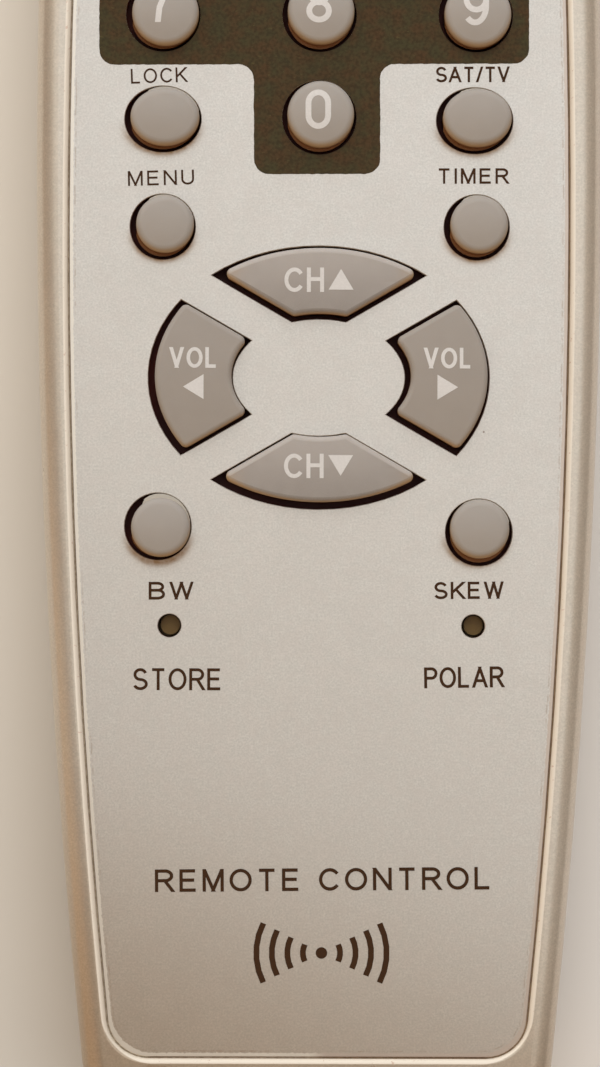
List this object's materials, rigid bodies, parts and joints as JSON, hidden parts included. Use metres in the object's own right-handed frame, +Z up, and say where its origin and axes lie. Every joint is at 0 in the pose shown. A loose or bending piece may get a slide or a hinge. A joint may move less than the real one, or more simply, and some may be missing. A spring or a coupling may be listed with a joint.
{
  "type": "handheld infrared remote control",
  "caption": "Slim two-shell handset with an inset front plate, rubber keys that press in, an arrow-key ring and a sliding battery door.",
  "frame": {"origin": "on the surface it lies on, under the middle of the case", "axes": "+X across the case to the right, +Y along it to the infrared window, +Z up through the keys"},
  "size_m": [0.0548, 0.176, 0.0222],
  "materials": {
    "case_paint": "satin silver paint on moulded plastic",
    "plate_paint": "silver paint with a fine sparkle and printed legends",
    "key_rubber": "matte translucent grey silicone",
    "mat_rubber": "matte grey silicone",
    "window_red": "dark red infrared-clear acrylic",
    "board_laminate": "paper laminate with copper tracks under varnish",
    "screw_steel": "bright zinc",
    "emitter_epoxy": "clear blue-tinted epoxy",
    "tinned_wire": "tinned",
    "chip_epoxy": "matte black moulding",
    "resonator_dip": "glossy orange dip",
    "capacitor_sleeve": "shrunk dark blue sleeve",
    "resistor_lacquer": "beige lacquer with colour bands",
    "cell_steel": "nickel-plated can",
    "cell_print": "printed foil, no lettering",
    "contact_nickel": "nickel-plated spring sheet and wire"
  },
  "bodies": {
    "case": {"upper_shell": "case_paint", "lower_shell": "case_paint", "face_plate": "plate_paint", "infrared_window": "window_red", "keypad_mat": "mat_rubber", "circuit_board": "board_laminate", "board_screws": "screw_steel", "case_screws": "screw_steel", "infrared_emitter": "emitter_epoxy", "emitter_leads": "tinned_wire", "control_chip": "chip_epoxy", "chip_pins": "tinned_wire", "ceramic_resonator": "resonator_dip", "filter_capacitor": "capacitor_sleeve", "driver_transistor": "chip_epoxy", "resistors": "resistor_lacquer", "cell_left": "cell_steel", "cell_right": "cell_steel", "cell_sleeve_left": "cell_print", "cell_sleeve_right": "cell_print", "positive_contact": "contact_nickel", "negative_contact": "contact_nickel", "bridge_contact": "contact_nickel"},
    "battery_door": {"battery_door": "case_paint"},
    "key_0": {"key_0": "key_rubber"},
    "key_1": {"key_1": "key_rubber"},
    "key_2": {"key_2": "key_rubber"},
    "key_3": {"key_3": "key_rubber"},
    "key_4": {"key_4": "key_rubber"},
    "key_5": {"key_5": "key_rubber"},
    "key_6": {"key_6": "key_rubber"},
    "key_7": {"key_7": "key_rubber"},
    "key_8": {"key_8": "key_rubber"},
    "key_9": {"key_9": "key_rubber"},
    "key_channel_up": {"key_channel_up": "key_rubber"},
    "key_channel_down": {"key_channel_down": "key_rubber"},
    "key_volume_down": {"key_volume_down": "key_rubber"},
    "key_volume_up": {"key_volume_up": "key_rubber"},
    "key_lock": {"key_lock": "key_rubber"},
    "key_sat_tv": {"key_sat_tv": "key_rubber"},
    "key_menu": {"key_menu": "key_rubber"},
    "key_timer": {"key_timer": "key_rubber"},
    "key_bandwidth": {"key_bandwidth": "key_rubber"},
    "key_skew": {"key_skew": "key_rubber"},
    "key_power": {"key_power": "key_rubber"},
    "key_mute": {"key_mute": "key_rubber"},
    "key_pause": {"key_pause": "key_rubber"},
    "key_favourite": {"key_favourite": "key_rubber"},
    "key_recall": {"key_recall": "key_rubber"},
    "key_audio": {"key_audio": "key_rubber"},
    "key_guide": {"key_guide": "key_rubber"},
    "key_radio": {"key_radio": "key_rubber"},
    "key_store": {"key_store": "key_rubber"},
    "key_polar": {"key_polar": "key_rubber"}
  },
  "joints": [
    {"name": "door_slide", "type": "slide", "parent": "case", "child": "battery_door", "axis": [0, -1, 0], "range_m": [0, 0.05]},
    {"name": "key_0_press", "type": "slide", "parent": "case", "child": "key_0", "axis": [0, 0, -1], "range_m": [0, 0.00105], "stiffness_N_per_m": 1200},
    {"name": "key_1_press", "type": "slide", "parent": "case", "child": "key_1", "axis": [0, 0, -1], "range_m": [0, 0.00105], "stiffness_N_per_m": 1200},
    {"name": "key_2_press", "type": "slide", "parent": "case", "child": "key_2", "axis": [0, 0, -1], "range_m": [0, 0.00105], "stiffness_N_per_m": 1200},
    {"name": "key_3_press", "type": "slide", "parent": "case", "child": "key_3", "axis": [0, 0, -1], "range_m": [0, 0.00105], "stiffness_N_per_m": 1200},
    {"name": "key_4_press", "type": "slide", "parent": "case", "child": "key_4", "axis": [0, 0, -1], "range_m": [0, 0.00105], "stiffness_N_per_m": 1200},
    {"name": "key_5_press", "type": "slide", "parent": "case", "child": "key_5", "axis": [0, 0, -1], "range_m": [0, 0.00105], "stiffness_N_per_m": 1200},
    {"name": "key_6_press", "type": "slide", "parent": "case", "child": "key_6", "axis": [0, 0, -1], "range_m": [0, 0.00105], "stiffness_N_per_m": 1200},
    {"name": "key_7_press", "type": "slide", "parent": "case", "child": "key_7", "axis": [0, 0, -1], "range_m": [0, 0.00105], "stiffness_N_per_m": 1200},
    {"name": "key_8_press", "type": "slide", "parent": "case", "child": "key_8", "axis": [0, 0, -1], "range_m": [0, 0.00105], "stiffness_N_per_m": 1200},
    {"name": "key_9_press", "type": "slide", "parent": "case", "child": "key_9", "axis": [0, 0, -1], "range_m": [0, 0.00105], "stiffness_N_per_m": 1200},
    {"name": "key_channel_up_press", "type": "slide", "parent": "case", "child": "key_channel_up", "axis": [0, 0, -1], "range_m": [0, 0.00105], "stiffness_N_per_m": 1200},
    {"name": "key_channel_down_press", "type": "slide", "parent": "case", "child": "key_channel_down", "axis": [0, 0, -1], "range_m": [0, 0.00105], "stiffness_N_per_m": 1200},
    {"name": "key_volume_down_press", "type": "slide", "parent": "case", "child": "key_volume_down", "axis": [0, 0, -1], "range_m": [0, 0.00105], "stiffness_N_per_m": 1200},
    {"name": "key_volume_up_press", "type": "slide", "parent": "case", "child": "key_volume_up", "axis": [0, 0, -1], "range_m": [0, 0.00105], "stiffness_N_per_m": 1200},
    {"name": "key_lock_press", "type": "slide", "parent": "case", "child": "key_lock", "axis": [0, 0, -1], "range_m": [0, 0.00105], "stiffness_N_per_m": 1200},
    {"name": "key_sat_tv_press", "type": "slide", "parent": "case", "child": "key_sat_tv", "axis": [0, 0, -1], "range_m": [0, 0.00105], "stiffness_N_per_m": 1200},
    {"name": "key_menu_press", "type": "slide", "parent": "case", "child": "key_menu", "axis": [0, 0, -1], "range_m": [0, 0.00105], "stiffness_N_per_m": 1200},
    {"name": "key_timer_press", "type": "slide", "parent": "case", "child": "key_timer", "axis": [0, 0, -1], "range_m": [0, 0.00105], "stiffness_N_per_m": 1200},
    {"name": "key_bandwidth_press", "type": "slide", "parent": "case", "child": "key_bandwidth", "axis": [0, 0, -1], "range_m": [0, 0.00105], "stiffness_N_per_m": 1200},
    {"name": "key_skew_press", "type": "slide", "parent": "case", "child": "key_skew", "axis": [0, 0, -1], "range_m": [0, 0.00105], "stiffness_N_per_m": 1200},
    {"name": "key_power_press", "type": "slide", "parent": "case", "child": "key_power", "axis": [0, 0, -1], "range_m": [0, 0.00105], "stiffness_N_per_m": 1200},
    {"name": "key_mute_press", "type": "slide", "parent": "case", "child": "key_mute", "axis": [0, 0, -1], "range_m": [0, 0.00105], "stiffness_N_per_m": 1200},
    {"name": "key_pause_press", "type": "slide", "parent": "case", "child": "key_pause", "axis": [0, 0, -1], "range_m": [0, 0.00105], "stiffness_N_per_m": 1200},
    {"name": "key_favourite_press", "type": "slide", "parent": "case", "child": "key_favourite", "axis": [0, 0, -1], "range_m": [0, 0.00105], "stiffness_N_per_m": 1200},
    {"name": "key_recall_press", "type": "slide", "parent": "case", "child": "key_recall", "axis": [0, 0, -1], "range_m": [0, 0.00105], "stiffness_N_per_m": 1200},
    {"name": "key_audio_press", "type": "slide", "parent": "case", "child": "key_audio", "axis": [0, 0, -1], "range_m": [0, 0.00105], "stiffness_N_per_m": 1200},
    {"name": "key_guide_press", "type": "slide", "parent": "case", "child": "key_guide", "axis": [0, 0, -1], "range_m": [0, 0.00105], "stiffness_N_per_m": 1200},
    {"name": "key_radio_press", "type": "slide", "parent": "case", "child": "key_radio", "axis": [0, 0, -1], "range_m": [0, 0.00105], "stiffness_N_per_m": 1200},
    {"name": "key_store_press", "type": "slide", "parent": "case", "child": "key_store", "axis": [0, 0, -1], "range_m": [0, 0.00105], "stiffness_N_per_m": 1200},
    {"name": "key_polar_press", "type": "slide", "parent": "case", "child": "key_polar", "axis": [0, 0, -1], "range_m": [0, 0.00105], "stiffness_N_per_m": 1200}
  ]
}
